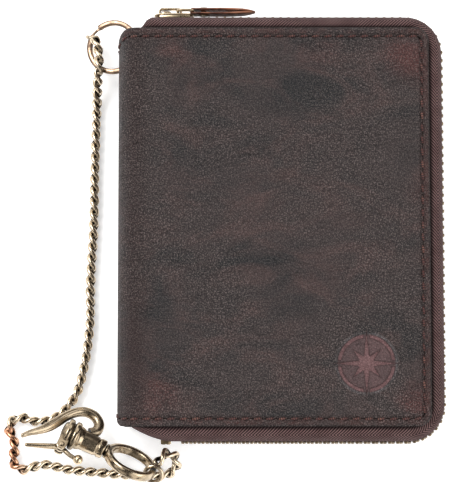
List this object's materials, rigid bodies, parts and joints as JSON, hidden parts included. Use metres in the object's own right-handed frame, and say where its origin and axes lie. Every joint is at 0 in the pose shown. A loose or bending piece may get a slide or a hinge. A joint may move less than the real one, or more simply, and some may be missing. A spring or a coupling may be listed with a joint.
{
  "type": "chain wallet",
  "caption": "Zip-round leather wallet lying closed on its back cover, with a split ring, a curb chain and a swivel snap hook; opens like a book onto card, note and coin pockets.",
  "frame": {"origin": "centre of the back cover's outer flat face, on which the wallet lies", "axes": "+Z through the thickness from the back cover to the front cover, +Y along the wallet's height, +X from the spine to the zipped edge"},
  "size_m": [0.1319, 0.1429, 0.025],
  "materials": {
    "cover_leather": "waxed pull-up leather, very dark brown with burnished reddish patches",
    "pocket_leather": "smooth dark brown leather",
    "pull_leather": "smooth brown leather with raw edges",
    "board": "fibre board",
    "lining": "black-brown twill lining",
    "zip_tape": "herringbone woven tape, purple-brown",
    "zip_metal": "antique brass",
    "slider_metal": "light antique brass",
    "ring_metal": "reddish antique brass",
    "chain_metal": "antique brass with black patina in the recesses",
    "hook_metal": "antique brass, greyer than the chain",
    "spring_steel": "bright wire"
  },
  "bodies": {
    "back_half": {"back_cover": "cover_leather", "spine": "cover_leather", "spine_fold": "cover_leather", "back_board": "board", "back_lining": "lining", "zip_tape_back": "zip_tape", "zip_teeth_back": "zip_metal", "zip_stop_back": "zip_metal", "zip_bottom_stop": "zip_metal", "note_pocket": "pocket_leather", "coin_pocket": "pocket_leather", "coin_zip": "zip_metal", "eyelet": "slider_metal", "chain_link_top": "chain_metal", "chain": "chain_metal", "chain_link_end": "chain_metal", "swivel_eye": "hook_metal"},
    "front_half": {"front_cover": "cover_leather", "front_board": "board", "front_lining": "lining", "zip_tape_front": "zip_tape", "zip_teeth_front": "zip_metal", "zip_stop_front": "zip_metal", "card_pocket_1": "pocket_leather", "card_pocket_2": "pocket_leather", "card_pocket_3": "pocket_leather", "card_pocket_4": "pocket_leather"},
    "slider": {"zip_slider": "slider_metal"},
    "pull": {"pull_bail": "slider_metal", "pull_tab": "pull_leather", "pull_rivet": "slider_metal"},
    "ring": {"split_ring": "ring_metal"},
    "hook": {"hook_barrel": "hook_metal", "hook_jaw": "hook_metal", "gate_pin": "hook_metal", "gate_spring": "spring_steel"},
    "gate": {"hook_gate": "hook_metal", "thumb_knob": "hook_metal"},
    "coin_slide_body": {"coin_slider": "slider_metal"},
    "coin_pull_body": {"coin_pull": "slider_metal"}
  },
  "joints": [
    {"name": "cover_open", "type": "hinge", "parent": "back_half", "child": "front_half", "pos_m": [-0.0453, 0, 0.0243], "axis": [0, -1, 0], "range_deg": [0, 180], "deforming": ["spine_fold"]},
    {"name": "zip_slide", "type": "slide", "parent": "back_half", "child": "slider", "axis": [1, 0, 0], "range_m": [0, 0.06], "deforming": ["zip_teeth_back", "zip_teeth_front"]},
    {"name": "pull_swing", "type": "hinge", "parent": "slider", "child": "pull", "pos_m": [-0.0286, 0.0659, 0.0125], "axis": [0, 0, 1], "range_deg": [0, 138]},
    {"name": "ring_turn", "type": "hinge", "parent": "back_half", "child": "ring", "pos_m": [-0.0484, 0.0563, 0.0067], "axis": [-0.2588, 0, 0.9659], "continuous": true},
    {"name": "hook_swivel", "type": "hinge", "parent": "back_half", "child": "hook", "pos_m": [-0.0425, -0.0694, 0.0085], "axis": [-0.9029, 0.421, 0.0872], "range_deg": [-60, 180]},
    {"name": "gate_open", "type": "hinge", "parent": "hook", "child": "gate", "pos_m": [-0.06312, -0.06485, 0.01275], "axis": [-0.2682, -0.393, -0.8796], "range_deg": [0, 10], "stiffness_Nm_per_rad": 0.002, "springref_deg": -11.46},
    {"name": "coin_zip_slide", "type": "slide", "parent": "back_half", "child": "coin_slide_body", "axis": [1, 0, 0], "range_m": [0, 0.05]},
    {"name": "coin_pull_swing", "type": "hinge", "parent": "coin_slide_body", "child": "coin_pull_body", "pos_m": [-0.0202, -0.0087, 0.00805], "axis": [0, -1, 0], "range_deg": [0, 85]}
  ]
}
